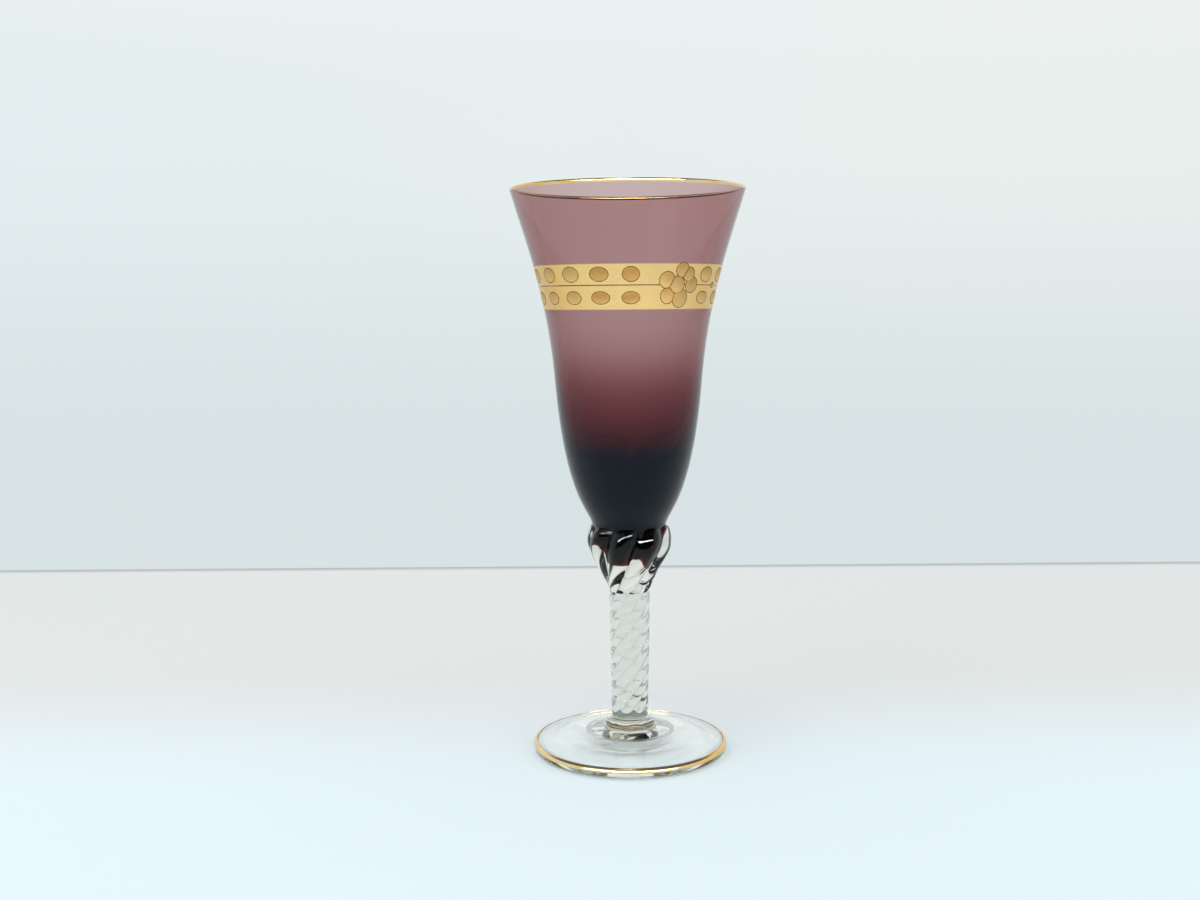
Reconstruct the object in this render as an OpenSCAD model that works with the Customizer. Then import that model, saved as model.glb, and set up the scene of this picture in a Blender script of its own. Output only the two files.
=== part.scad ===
// A stemmed glass blown in two colours: a flared amethyst bowl with a heavy bottom,
// held by a clear twisted knop on a twisted stem, a soft collar and a clear foot.
// Gilding lies on the lip, in a band round the bowl and on the edge of the foot.
// Millimetres, +Z up. The origin is the middle of the ring that the foot stands on.

/* [Foot] */
// Diameter of the foot over its gilded edge
foot_d = 69.8; // [56:0.1:84]
// Height of the foot's top at its middle
foot_h = 7.2; // [6.4:0.1:10]
// Height of the foot's edge, where its flat top begins to slope
foot_edge_h = 3.8; // [2.8:0.1:4.4]
// Height of the widest part of the foot's edge
foot_widest_h = 2.3; // [1.4:0.1:2.6]
// Diameter of the ring that the foot stands on, at its outer side
stand_d = 65.6; // [52:0.1:66]
// Width of the ring that the foot stands on
stand_w = 2.2; // [1:0.1:4]
// Rise of the hollow under the foot
hollow_h = 3.4; // [1:0.1:3.6]

/* [Collar] */
// Diameter of the collar's broad lower mound
collar_d = 31.6; // [24:0.1:40]
// Height of the lower mound where the upper one rises from it
collar_step_h = 1.1; // [0.8:0.1:1.6]
// Diameter of the collar's upper mound
collar_bead_d = 17.8; // [16:0.1:20]
// Height of the upper mound's widest part above the foot
collar_bead_h = 2.5; // [2:0.1:3.4]
// Height of the whole collar
collar_h = 5.1; // [4.4:0.1:7]

/* [Stem] */
// Length of the stem between the collar and the knop
stem_l = 45.7; // [30:0.1:80]
// Diameter over the ribs at the foot of the stem
stem_low_d = 13; // [10:0.1:14]
// Diameter over the ribs at the top of the stem
stem_top_d = 14.6; // [13:0.1:16]
// Depth of the grooves between the stem's ribs
stem_groove = 0.55; // [0.2:0.05:1]

/* [Knop] */
// Length of the knop from the stem to its crown
knop_l = 24.2; // [20:0.1:30]
// Height of the bowl's seat above the crown, which rolls in below it
seat_rise = 0.8; // [0.4:0.1:1.2]
// Diameter over the knop's ribs where it is fattest
knop_d = 30.6; // [28:0.1:36]
// Height of the fattest part above the stem
knop_widest_h = 17.4; // [14:0.1:19]
// Depth of the grooves between the knop's ribs
knop_groove = 2.4; // [0.6:0.05:2.8]

/* [Ribs] */
// Number of ribs round the knop and the stem
rib_count = 8; // [6:1:14]
// Height in which the ribs go once round a body as thin as the top of the stem
twist_pitch = 54; // [45:1:140]
// Angle of the ribs at the foot of the stem, from +X
twist_start = 1; // [0:1:60]

/* [Bowl] */
// Length of the bowl from the knop's crown to the lip
bowl_l = 117; // [100:0.1:150]
// Diameter of the bowl at the lip, over the gilding
lip_d = 82.5; // [74:0.1:92]
// Diameter of the bowl at its straightest part
waist_d = 51.7; // [44:0.1:56]
// Height of the straightest part above the seat
waist_h = 50.1; // [40:0.1:60]
// Diameter of the bowl where it leaves the knop
seat_d = 26.7; // [24:0.1:28]
// Depth of the bowl's tip inside the knop
tip_l = 13.5; // [9:0.1:16]
// Thickness of the wall at the lip and over the upper part of the bowl
wall = 1.2; // [0.9:0.05:2]
// Thickness of solid glass between the seat and the floor of the cavity
floor_t = 21; // [12:0.1:30]

/* [Gilding] */
// Thickness of the gilding
gild_t = 0.15; // [0.1:0.01:0.3]
// Height of the gold line outside the lip
lip_gild_h = 1.3; // [0.8:0.1:3]
// Width of the gold ring on top of the foot
foot_gild_w = 1.7; // [1:0.1:4]
// Distance from the lip down to the top of the gold band
band_drop = 26.8; // [15:0.1:45]
// Height of the gold band
band_h = 15.2; // [12:0.1:20]
// Width of the fine line between the band's two strips
band_line_w = 0.3; // [0.2:0.05:0.6]

/* [Band ornament] */
// Number of ovals in each row of the band
oval_count = 17; // [9:1:17]
// Width of an oval round the bowl
oval_w = 6; // [3:0.1:6.4]
// Height of an oval in the upper row
upper_oval_h = 4.7; // [3:0.1:5]
// Height of an oval in the lower row
lower_oval_h = 4.1; // [3:0.1:4.4]
// Diameter of a disc of the flower
petal_d = 5.6; // [4:0.1:5.6]
// Length of the bud beside the flower
bud_l = 2.2; // [1.5:0.1:3]
// Width of the bare line round each oval and disc
outline_w = 0.15; // [0.1:0.01:0.3]

/* [Hidden] */

// Overrun of every cut, and the number of steps in a curve and in a round edge
overrun = 1;
curve_steps = 20;
edge_steps = 8;
$fn = 120;

// Angle of the flower's middle round the bowl, from +X, and the gaps beside it
flower_angle = -60;
gap_after_flower = 24;
gap_before_flower = 29.4;
// Angle of the bud, from the flower's middle
bud_angle = 35;
// How far the ovals of hand-made rows differ in width and height, used in turn
oval_width_shares = [1.06, 1.05, 0.92, 0.98, 1.02, 0.95, 1.04];
oval_height_shares = [1, 0.96, 0.93, 1.04, 0.9, 0.98, 1.02, 0.95];
// Places of the flower's discs in shares of a disc: round the bowl, up, and size.
// An earlier disc lies over a later one.
flower_shares = [
    [0.00, 0.00, 1.00], [0.32, -0.78, 1.06], [-0.68, 0.28, 0.95], [0.77, 0.62, 0.80],
    [1.09, 0.01, 0.90], [-0.56, -0.63, 0.92], [0.28, 0.87, 0.83]
];
// Places of the two rows, in shares of the half band
upper_row_share = 0.5;
lower_row_share = 0.51;
line_share = 0.535;

// Heights of the joints between the pieces
collar_top = foot_h + collar_h;
knop_z = collar_top + stem_l;
crown_z = knop_z + knop_l;
seat_z = crown_z + seat_rise;
glass_h = seat_z + bowl_l;
band_top = glass_h - band_drop;
band_bottom = band_top - band_h;
band_middle = band_bottom + band_h * line_share;

// Point at share t of a curve that leaves a towards b and reaches d from c
function curve_point(a, b, c, d, t) =
    a * pow(1 - t, 3) + b * 3 * t * pow(1 - t, 2) + c * 3 * t * t * (1 - t) + d * pow(t, 3);
function curve(a, b, c, d, steps = curve_steps) =
    [for (i = [0:steps]) curve_point(a, b, c, d, i / steps)];
// Points of an arc from angle a to angle b round a middle
function arc(middle, r, a, b, steps = edge_steps) =
    [for (i = [0:steps]) let (q = a + (b - a) * i / steps) middle + r * [cos(q), sin(q)]];
function skip_first(list) = [for (i = [1:len(list) - 1]) list[i]];
function backwards(list) = [for (i = [len(list) - 1:-1:0]) list[i]];
// The radius at height z of an outline of [radius, height] points that rise
function radius_at(outline, z) = lookup(z, [for (p = outline) [p[1], p[0]]]);
// The points of such an outline between two heights, with both ends, moved out by t
function stretch(outline, low, high, t = 0) = concat(
    [[radius_at(outline, low) + t, low]],
    [for (p = outline) if (p[1] > low && p[1] < high) [p[0] + t, p[1]]],
    [[radius_at(outline, high) + t, high]]);

// Outline of the bowl's outside, from the seat up to the lip
glass_lip_r = lip_d / 2 - gild_t;
waist = [waist_d / 2, seat_z + waist_h];
waist_lean_share = 0.078;
lip_lean_share = 0.288;
waist_to_lip = bowl_l - waist_h;
bowl_outside = concat(
    curve([seat_d / 2, seat_z],
        [seat_d * 0.557, seat_z + waist_h * 0.095],
        waist - waist_h * 0.785 * [waist_lean_share, 1], waist),
    skip_first(curve(waist, waist + waist_to_lip * 0.452 * [waist_lean_share, 1],
        [glass_lip_r, glass_h] - waist_to_lip * 0.25 * [lip_lean_share, 1],
        [glass_lip_r, glass_h])));
// Outline of the tip that the knop grips, from its lowest point up to the seat
tip_z = seat_z - tip_l;
bowl_tip = curve([0, tip_z], [seat_d * 0.19, tip_z],
    [seat_d * 0.43, seat_z - tip_l * 0.42], [seat_d / 2, seat_z]);
// Outline of the cavity: its round floor, then a side that draws away from the outside
// going down, up to where the wall is at its thinnest
cavity_z = seat_z + floor_t;
cavity_join_z = waist[1] + waist_to_lip * 0.33;
cavity_join = [radius_at(bowl_outside, cavity_join_z) - wall, cavity_join_z];
cavity_join_lean_share =
    (radius_at(bowl_outside, cavity_join_z + wall) - wall - cavity_join[0]) / wall;
cavity_corner = [waist_d * 0.393, cavity_z + waist_h * 0.26];
cavity_corner_lean_share = 0.3;
cavity_corner_h = cavity_corner[1] - cavity_z;
cavity_side_h = cavity_join_z - cavity_corner[1];
cavity_low = concat(
    curve([0, cavity_z], [waist_d * 0.2, cavity_z],
        cavity_corner - cavity_corner_h * 0.55 * [cavity_corner_lean_share, 1], cavity_corner),
    skip_first(curve(cavity_corner,
        cavity_corner + cavity_side_h * 0.22 * [cavity_corner_lean_share, 1],
        cavity_join - cavity_side_h * 0.35 * [cavity_join_lean_share, 1], cavity_join)));

// The lip is rounded: the middle and the radius of its round top
lip_round = wall / 2;
lip_z = glass_h - gild_t - lip_round;
lip_middle = [radius_at(bowl_outside, lip_z) - lip_round, lip_z];

// Radius over the ribs of the stem at a share of its length
function stem_r(share) = (stem_low_d + (stem_top_d - stem_low_d) * sin(90 * share)) / 2;
stem_rings = 34;
stem_outline = [for (i = [0:stem_rings])
    [stem_r(i / stem_rings), collar_top + stem_l * i / stem_rings]];
// Outline over the knop's ribs: the swelling, then the crown that rolls in on the bowl
knop_widest = [knop_d / 2, knop_z + knop_widest_h];
crown_h = knop_l - knop_widest_h;
knop_rings = 14;
crown_rings = 7;
knop_outline = concat(
    curve([stem_top_d / 2, knop_z], [stem_top_d * 0.56, knop_z + knop_widest_h * 0.32],
        knop_widest - [0, knop_widest_h * 0.25], knop_widest, knop_rings),
    skip_first(curve(knop_widest, knop_widest + [0, crown_h * 0.62],
        [seat_d * 0.53, crown_z], [seat_d * 0.465, crown_z], crown_rings)));

// Angle of the ribs at each point of an outline: the twist is slower where it is fat
twist_slowing = 2.2;
function twist_rate(r) = 360 / twist_pitch * pow(stem_top_d / 2 / r, twist_slowing);
function twist_angles(outline, start) = [
    for (i = 0, a = start; i < len(outline);
        a = a + (i + 1 < len(outline)
            ? twist_rate(outline[i][0]) * (outline[i + 1][1] - outline[i][1]) : 0),
        i = i + 1) a];
stem_angles = twist_angles(stem_outline, twist_start);
knop_angles = twist_angles(knop_outline, stem_angles[len(stem_angles) - 1]);

// A ribbed body: rings of points along an outline, each turned by its angle.
// A rib is broad and round, and a groove is the narrow crease midway between two ribs.
points_per_rib = 10;
function groove_share(i) = 1 - abs(cos(180 * i / points_per_rib));
module ribbed_body(outline, angles, depths) {
    ring_points = rib_count * points_per_rib;
    rings = len(outline);
    points = [for (k = [0:rings - 1]) for (i = [0:ring_points - 1])
        let (r = outline[k][0] - depths[k] * groove_share(i),
            a = angles[k] + 360 * i / ring_points)
            [r * cos(a), r * sin(a), outline[k][1]]];
    sides = [for (k = [0:rings - 2]) for (i = [0:ring_points - 1])
        let (j = (i + 1) % ring_points, low = k * ring_points, high = low + ring_points)
            each [[low + i, high + i, high + j], [low + i, high + j, low + j]]];
    bottom = [for (i = [0:ring_points - 1]) i];
    top = [for (i = [ring_points - 1:-1:0]) (rings - 1) * ring_points + i];
    polyhedron(points, concat(sides, [bottom, top]));
}

module foot() {
    edge_r = foot_d / 2 - gild_t;
    stand_r = stand_d / 2;
    color([0.93, 0.97, 0.96])
        rotate_extrude()
            polygon(concat(
                curve([0, hollow_h], [stand_r * 0.7, hollow_h],
                    [stand_r * 0.78, hollow_h * 0.1], [stand_r - stand_w, 0]),
                curve([stand_r, 0], [edge_r - stand_w * 0.2, foot_widest_h * 0.1],
                    [edge_r, foot_widest_h * 0.45], [edge_r, foot_widest_h], edge_steps),
                skip_first(foot_top),
                [[0, foot_h]]));
}

// Outline of the foot's rounded shoulder and of the slope up to the collar
foot_glass_r = foot_d / 2 - gild_t;
foot_shoulder_w = foot_edge_h * 0.42;
foot_shoulder = curve([foot_glass_r, foot_widest_h],
    [foot_glass_r, foot_widest_h + (foot_edge_h - foot_widest_h) * 0.7],
    [foot_glass_r - foot_shoulder_w * 0.4, foot_edge_h],
    [foot_glass_r - foot_shoulder_w, foot_edge_h], edge_steps);
foot_slope = curve([foot_glass_r - foot_shoulder_w, foot_edge_h],
    [foot_glass_r * 0.75, foot_edge_h + (foot_h - foot_edge_h) * 0.16],
    [collar_d * 0.72, foot_h], [collar_d / 2, foot_h]);
foot_top = concat(foot_shoulder, skip_first(foot_slope));

module foot_gilding() {
    inner_r = foot_d / 2 - foot_gild_w;
    line = concat([for (p = foot_top) if (p[0] > inner_r) p],
        [[inner_r, lookup(inner_r, backwards(foot_top))]]);
    color([0.85, 0.63, 0.30])
        rotate_extrude()
            polygon(concat(line, [for (i = [len(line) - 1:-1:0])
                line[i] + gild_t * (i == 0 ? [1, 0] : gild_normal(line, i))]));
}
// The direction square to a line of points at one of them
function gild_normal(line, i) =
    let (a = line[max(i - 1, 0)], b = line[min(i + 1, len(line) - 1)], d = b - a)
        [d[1], -d[0]] / norm(d);

module foot_collar() {
    neck_r = stem_low_d / 2;
    step = [collar_d * 0.33, foot_h + collar_step_h];
    bead = [collar_bead_d / 2, foot_h + collar_bead_h];
    bead_top_h = collar_top - bead[1];
    color([0.90, 0.95, 0.94])
        rotate_extrude()
            polygon(concat(
                [[0, foot_h]],
                curve([collar_d / 2, foot_h], [collar_d * 0.495, foot_h + collar_step_h * 0.5],
                    [collar_d * 0.42, foot_h + collar_step_h * 0.95], step, edge_steps),
                skip_first(curve(step, [bead[0] * 1.02, step[1]],
                    [bead[0] * 1.02, (step[1] + bead[1]) / 2], bead, edge_steps)),
                skip_first(curve(bead, [bead[0] * 0.98, bead[1] + bead_top_h * 0.62],
                    [neck_r * 1.18, collar_top - bead_top_h * 0.1],
                    [neck_r, collar_top], edge_steps)),
                [[0, collar_top]]));
}

module stem() {
    color([0.93, 0.97, 0.96])
        ribbed_body(stem_outline, stem_angles, [for (p = stem_outline) stem_groove]);
}

module bowl_tip_solid(top) {
    rotate_extrude()
        polygon(concat(bowl_tip, skip_first(stretch(bowl_outside, seat_z, top)), [[0, top]]));
}

module knop() {
    depths = [for (p = knop_outline)
        let (share = min(1, (p[1] - knop_z) / (knop_widest_h / 2)))
            stem_groove + (knop_groove - stem_groove) * share];
    color([0.90, 0.95, 0.94])
        difference() {
            ribbed_body(knop_outline, knop_angles, depths);
            bowl_tip_solid(seat_z + overrun);
        }
}

module bowl() {
    color([0.38, 0.20, 0.28])
        rotate_extrude()
            polygon(concat(
                bowl_tip,
                skip_first(stretch(bowl_outside, seat_z, lip_z)),
                skip_first(arc(lip_middle, lip_round, 0, 180)),
                backwards(stretch(bowl_outside, cavity_join_z, lip_z, -wall)),
                skip_first(backwards(cavity_low))));
}

module lip_gilding() {
    low = glass_h - lip_gild_h;
    outside = stretch(bowl_outside, low, lip_z);
    inside = backwards(stretch(bowl_outside, low + lip_gild_h / 2, lip_z, -wall));
    color([0.85, 0.68, 0.38])
        rotate_extrude()
            polygon(concat(
                outside,
                skip_first(arc(lip_middle, lip_round, 0, 180)),
                skip_first(inside),
                [for (p = backwards(inside)) p - [gild_t, 0]],
                backwards(arc(lip_middle, lip_round + gild_t, 0, 180)),
                skip_first([for (p = backwards(outside)) p + [gild_t, 0]])));
}

// The band's layer of gold between two heights
module band_layer(low, high) {
    rotate_extrude()
        polygon(concat(stretch(bowl_outside, low, high),
            backwards(stretch(bowl_outside, low, high, gild_t))));
}

// A prism with an oval outline that stands out from the bowl's wall
module oval_prism(angle, z, w, h) {
    r = radius_at(bowl_outside, z);
    lean = atan2(radius_at(bowl_outside, z + h / 2) - radius_at(bowl_outside, z - h / 2), h);
    oval_steps = 24;
    rotate([0, 0, angle])
        translate([r, 0, z])
            rotate([0, 90 + lean, 0])
                translate([0, 0, -wall])
                    linear_extrude(wall * 2)
                        polygon([for (i = [0:oval_steps - 1])
                            let (q = 360 * i / oval_steps) [h * cos(q), w * sin(q)] / 2]);
}

row_z = [band_middle + (band_top - band_middle) * upper_row_share,
    band_middle - (band_middle - band_bottom) * lower_row_share];
row_oval_h = [upper_oval_h, lower_oval_h];
oval_step = (360 - gap_after_flower - gap_before_flower) / (oval_count - 1);

module ovals(grow = 0) {
    for (row = [0, 1])
        for (i = [0:oval_count - 1]) {
            w_share = oval_width_shares[(i + row * 3) % len(oval_width_shares)];
            h_share = oval_height_shares[(i + row * 2) % len(oval_height_shares)];
            oval_prism(flower_angle + gap_after_flower + i * oval_step, row_z[row],
                oval_w * w_share + grow * 2, row_oval_h[row] * h_share + grow * 2);
        }
}

module flower_disc(i, grow = 0) {
    degrees_per_disc = petal_d / radius_at(bowl_outside, band_middle) * 180 / PI;
    place = flower_shares[i];
    size = petal_d * place[2] + grow * 2;
    oval_prism(flower_angle + place[0] * degrees_per_disc, band_middle + place[1] * petal_d,
        size, size);
}

module bud(grow = 0) {
    oval_prism(flower_angle + bud_angle, band_middle, bud_l + grow * 2, bud_l * 0.7 + grow * 2);
}

module band_gilding() {
    color([0.88, 0.76, 0.50])
        difference() {
            union() {
                band_layer(band_bottom, band_middle - band_line_w / 2);
                band_layer(band_middle + band_line_w / 2, band_top);
            }
            ovals(outline_w);
            for (i = [0:len(flower_shares) - 1])
                flower_disc(i, outline_w);
            bud(outline_w);
        }
}

module band_ovals() {
    color([0.68, 0.53, 0.30])
        intersection() {
            band_layer(band_bottom, band_top);
            ovals();
        }
}

module band_flower() {
    color([0.72, 0.57, 0.33])
        intersection() {
            band_layer(band_bottom, band_top);
            union() {
                for (i = [0:len(flower_shares) - 1])
                    difference() {
                        flower_disc(i);
                        for (over = [0:1:i - 1])
                            flower_disc(over, outline_w * 2);
                    }
                bud();
            }
        }
}

foot();
foot_gilding();
foot_collar();
stem();
knop();
bowl();
lip_gilding();
band_gilding();
band_ovals();
band_flower();
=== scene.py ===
"""A stemmed glass: the looks of its amethyst bowl, clear twisted knop and stem, clear foot and gilding."""

import functools
import math

import bmesh
import bpy
from bpy.props import FloatProperty, FloatVectorProperty, IntProperty, PointerProperty
from mathutils import Matrix, Vector, noise
from mathutils.bvhtree import BVHTree


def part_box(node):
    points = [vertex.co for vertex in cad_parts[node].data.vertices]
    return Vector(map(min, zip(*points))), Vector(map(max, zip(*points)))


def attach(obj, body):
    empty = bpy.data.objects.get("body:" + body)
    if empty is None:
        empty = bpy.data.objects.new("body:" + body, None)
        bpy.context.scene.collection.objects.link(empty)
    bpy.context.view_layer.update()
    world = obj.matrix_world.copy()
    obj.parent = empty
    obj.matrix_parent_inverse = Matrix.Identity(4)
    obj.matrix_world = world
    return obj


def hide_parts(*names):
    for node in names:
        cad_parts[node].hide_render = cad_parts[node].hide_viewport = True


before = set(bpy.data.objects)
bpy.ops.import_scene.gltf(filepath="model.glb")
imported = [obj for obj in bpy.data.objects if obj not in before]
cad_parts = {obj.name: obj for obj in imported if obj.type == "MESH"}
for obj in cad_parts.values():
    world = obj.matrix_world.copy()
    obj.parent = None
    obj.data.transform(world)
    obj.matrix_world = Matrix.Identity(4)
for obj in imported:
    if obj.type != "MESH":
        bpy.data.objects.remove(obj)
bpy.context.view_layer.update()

bl_info = {
    "name": "Stemmed Glass",
    "version": (1, 0, 0),
    "blender": (4, 5, 0),
    "location": "3D View > Sidebar > Stemmed Glass",
    "description": "Models and finishes a stemmed glass round its packed frame",
    "category": "Add Mesh",
}

MM = 0.001
# Gap between two pieces of glass that are fused, and how near a face lies to such a joint
FUSED_GAP = 0.01 * MM
TOUCH = 0.001 * MM


@functools.cache
def box_of(node):
    """A node's box, measured once."""
    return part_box(node)


def top_of(node):
    """Height of a node's highest point."""
    return box_of(node)[1][2]


def bottom_of(node):
    """Height of a node's lowest point."""
    return box_of(node)[0][2]


def length_property(name, description, millimetres):
    """A length that a user may change."""
    return FloatProperty(
        name=name, description=description, default=millimetres * MM, unit="LENGTH", precision=5
    )


def share_property(name, description, default):
    """A share that a user may change."""
    return FloatProperty(name=name, description=description, default=default, subtype="FACTOR")


def colour_property(name, description, default):
    """A colour that a user may change."""
    return FloatVectorProperty(name=name, description=description, default=default, subtype="COLOR", size=3)


class GlassSizes(bpy.types.PropertyGroup):
    """Sizes of the pieces of glass."""

    seat_rise: length_property("Seat rise", "Height of the bowl's seat above the knop's crown", 0.8)
    lip_radius: length_property("Lip radius", "Radius of the bowl's glass at the lip", 41.1)
    waist_radius: length_property("Waist radius", "Radius of the bowl where it is straightest", 25.85)
    waist_height: length_property("Waist height", "Height of the straightest part above the seat", 50.1)
    seat_radius: length_property("Seat radius", "Radius of the bowl where it leaves the knop", 13.35)
    wall: length_property("Wall", "Thickness of the bowl's wall", 1.2)
    floor_thickness: length_property("Floor", "Solid glass between the seat and the cavity", 17.6)
    rib_count: IntProperty(name="Ribs", description="Ribs round the knop and the stem", default=8, min=6)
    stem_low_radius: length_property("Stem foot", "Radius over the ribs at the stem's foot", 6.5)
    stem_top_radius: length_property("Stem top", "Radius over the ribs at the stem's top", 7.3)
    knop_radius: length_property("Knop radius", "Radius over the ribs where the knop is fattest", 15.3)
    knop_widest: length_property("Knop swell", "Height of the fattest part above the stem", 17.4)
    twist_pitch: length_property("Twist pitch", "Height of one turn of the ribs on the stem", 54)
    twist_start: FloatProperty(
        name="Twist start",
        description="Angle of the ribs at the stem's foot",
        default=math.radians(1),
        unit="ROTATION",
    )
    stem_groove: share_property("Stem grooves", "Depth of the stem's grooves over its radius", 0.075)
    knop_groove: share_property("Knop grooves", "Depth of the knop's grooves over its radius", 0.157)
    foot_radius: length_property("Foot radius", "Radius of the foot's glass", 34.75)
    foot_edge: length_property("Foot edge", "Height where the foot's top begins to slope", 3.8)
    foot_widest: length_property("Foot bulge", "Height of the widest part of the foot's edge", 2.3)
    stand_radius: length_property("Stand radius", "Outer radius of the ring that stands", 32.8)
    stand_width: length_property("Stand width", "Width of the ring that stands", 2.2)
    hollow: length_property("Hollow", "Rise of the hollow under the foot", 3.4)
    collar_radius: length_property("Collar radius", "Radius of the collar's broad lower mound", 15.8)
    collar_step: length_property("Collar step", "Height where the upper mound rises from the lower", 1.1)
    bead_radius: length_property("Collar bead", "Radius of the collar's upper mound", 8.9)
    bead_height: length_property("Bead height", "Height of the upper mound's widest part", 2.5)


class GildingSizes(bpy.types.PropertyGroup):
    """Sizes of the gilding and its ornament."""

    leaf: length_property("Leaf", "Thickness of the gilding", 0.06)
    seat_gap: length_property("Seat", "Gap that keeps the gilding off the glass", 0.01)
    line_width: length_property("Line", "Width of the line between the two strips", 0.3)
    line_share: share_property("Line place", "Height of the line in the band", 0.535)
    foot_ring_width: length_property("Foot ring", "Width of the gold on the foot's edge", 1.3)
    oval_count: IntProperty(name="Ovals", description="Ovals in each row of the band", default=17, min=3)
    oval_width: length_property("Oval width", "Width of an oval round the bowl", 6)
    upper_oval: length_property("Upper oval", "Height of an oval in the upper row", 4.7)
    lower_oval: length_property("Lower oval", "Height of an oval in the lower row", 4.1)
    disc: length_property("Disc", "Diameter of a disc of the flower", 5.6)
    bud: length_property("Bud", "Length of the bud on the line", 2.2)
    pad_rise: length_property("Pad rise", "How far a matte pad stands proud of the band", 0.03)


class GlassColours(bpy.types.PropertyGroup):
    """Colours of the glass and the gilding."""

    amethyst_absorbs: colour_property("Amethyst", "What the amethyst glass lets by", (0.50, 0.055, 0.06))
    amethyst_density: FloatProperty(
        name="Amethyst depth", description="How fast the amethyst glass darkens, per metre", default=600
    )
    clear_absorbs: colour_property("Clear", "What the clear glass lets by", (0.745, 0.76, 0.665))
    clear_density: FloatProperty(
        name="Clear depth", description="How fast the clear glass darkens, per metre", default=34
    )
    bright_gold: colour_property("Bright gold", "Burnished gilding", (0.88, 0.66, 0.36))
    band_gold: colour_property("Band gold", "Burnished gilding of the band", (0.85, 0.56, 0.23))
    # Warm gold makes random patches on the edge gilding, and the painted reflection on the band's left side
    warm_gold: colour_property("Warm gold", "Gilding where it is thin", (0.86, 0.55, 0.20))
    matte_gold: colour_property("Matte gold", "Unburnished gilding at its lightest", (0.70, 0.46, 0.19))
    dark_gold: colour_property("Dark gold", "Unburnished gilding at its darkest", (0.34, 0.19, 0.055))
    reverse: colour_property("Reverse", "Gilding from behind, through the glass", (0.80, 0.60, 0.33))
    outline: colour_property("Outline", "Drawn line round the ovals", (0.10, 0.05, 0.016))


def sizes():
    """The sizes of the glass."""
    return bpy.context.scene.glass_sizes


def gilding():
    """The sizes of the gilding."""
    return bpy.context.scene.glass_gilding


def colours():
    """The colours of the glass."""
    return bpy.context.scene.glass_colours


# Outlines: lists of (radius, height), drawn with curves and arcs


def curve(a, b, c, d, steps):
    """Points of a curve that leaves a towards b and reaches d from c."""
    a, b, c, d = (Vector(p) for p in (a, b, c, d))
    points = []
    for i in range(steps + 1):
        t = i / steps
        s = 1 - t
        points.append(a * s**3 + b * 3 * t * s * s + c * 3 * t * t * s + d * t**3)
    return points


def arc(middle, radius, start, end, steps):
    """Points of an arc round a middle, between two angles in degrees."""
    points = []
    for i in range(steps + 1):
        angle = math.radians(start + (end - start) * i / steps)
        points.append(Vector(middle) + radius * Vector((math.cos(angle), math.sin(angle))))
    return points


def join(*runs):
    """Runs of points as one, without a point that repeats the last."""
    line = []
    for run in runs:
        for point in run:
            if not line or (point - line[-1]).length > 1e-6:
                line.append(Vector(point))
    return line


def radius_at(outline, z):
    """The radius of a rising outline at a height."""
    for low, high in zip(outline, outline[1:]):
        if low.y <= z <= high.y:
            share = (z - low.y) / max(high.y - low.y, 1e-9)
            return low.x + (high.x - low.x) * share
    return outline[-1].x if z > outline[-1].y else outline[0].x


def stretch(outline, low, high, out=0.0):
    """A rising outline between two heights, moved out by a distance."""
    line = [Vector((radius_at(outline, low), low))]
    line += [p for p in outline if low < p.y < high]
    line.append(Vector((radius_at(outline, high), high)))
    return [Vector((p.x + out, p.y)) for p in line]


def seat_height():
    """Height of the bowl's seat."""
    return top_of("knop") + sizes().seat_rise


def lip_height():
    """Height of the lip's glass."""
    return top_of("lip_gilding") - gilding().leaf - gilding().seat_gap * 2


def bowl_outside():
    """Outline of the bowl's outside, from the seat to the lip."""
    s = sizes()
    seat = seat_height()
    waist = Vector((s.waist_radius, seat + s.waist_height))
    lip = Vector((s.lip_radius, lip_height()))
    rise = lip.y - waist.y
    waist_lean = Vector((0.078, 1))
    lip_lean = Vector((0.288, 1))
    return join(
        curve(
            (s.seat_radius, seat),
            (s.seat_radius * 1.114, seat + s.waist_height * 0.095),
            waist - waist_lean * s.waist_height * 0.785,
            waist,
            56,
        ),
        curve(waist, waist + waist_lean * rise * 0.452, lip - lip_lean * rise * 0.25, lip, 56),
    )


def bowl_tip():
    """Outline of the tip that the knop grips, from its lowest point to the seat."""
    s = sizes()
    low = bottom_of("bowl")
    seat = seat_height()
    depth = seat - low
    return curve(
        (0, low),
        (s.seat_radius * 0.5, low),
        (s.seat_radius * 0.87, seat - depth * 0.46),
        (s.seat_radius, seat),
        36,
    )


def cavity(outside):
    """Outline of the bowl's cavity, from its floor to the lip's round. The wall thickens downwards."""
    s = sizes()
    seat = seat_height()
    rise = lip_height() - seat - s.waist_height
    floor = seat + s.floor_thickness
    corner = Vector((s.waist_radius * 0.786, floor + s.waist_height * 0.32))
    corner_lean = Vector((0.3, 1))
    join_z = seat + s.waist_height + rise * 0.33
    meet = Vector((radius_at(outside, join_z) - s.wall, join_z))
    above = Vector((radius_at(outside, join_z + s.wall) - s.wall, join_z + s.wall))
    lean = (above - meet) / s.wall
    up = join_z - corner.y
    return join(
        curve(
            (0, floor),
            (s.waist_radius * 0.54, floor),
            corner - corner_lean * (corner.y - floor) * 0.55,
            corner,
            40,
        ),
        curve(corner, corner + corner_lean * up * 0.22, meet - lean * up * 0.35, meet, 30),
        stretch(outside, join_z, lip_round_height(), -s.wall),
    )


def lip_round_height():
    """Height of the middle of the lip's round top."""
    return lip_height() - sizes().wall / 2


def lip_middle(outside):
    """The middle of the lip's round top."""
    z = lip_round_height()
    return Vector((radius_at(outside, z) - sizes().wall / 2, z))


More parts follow.
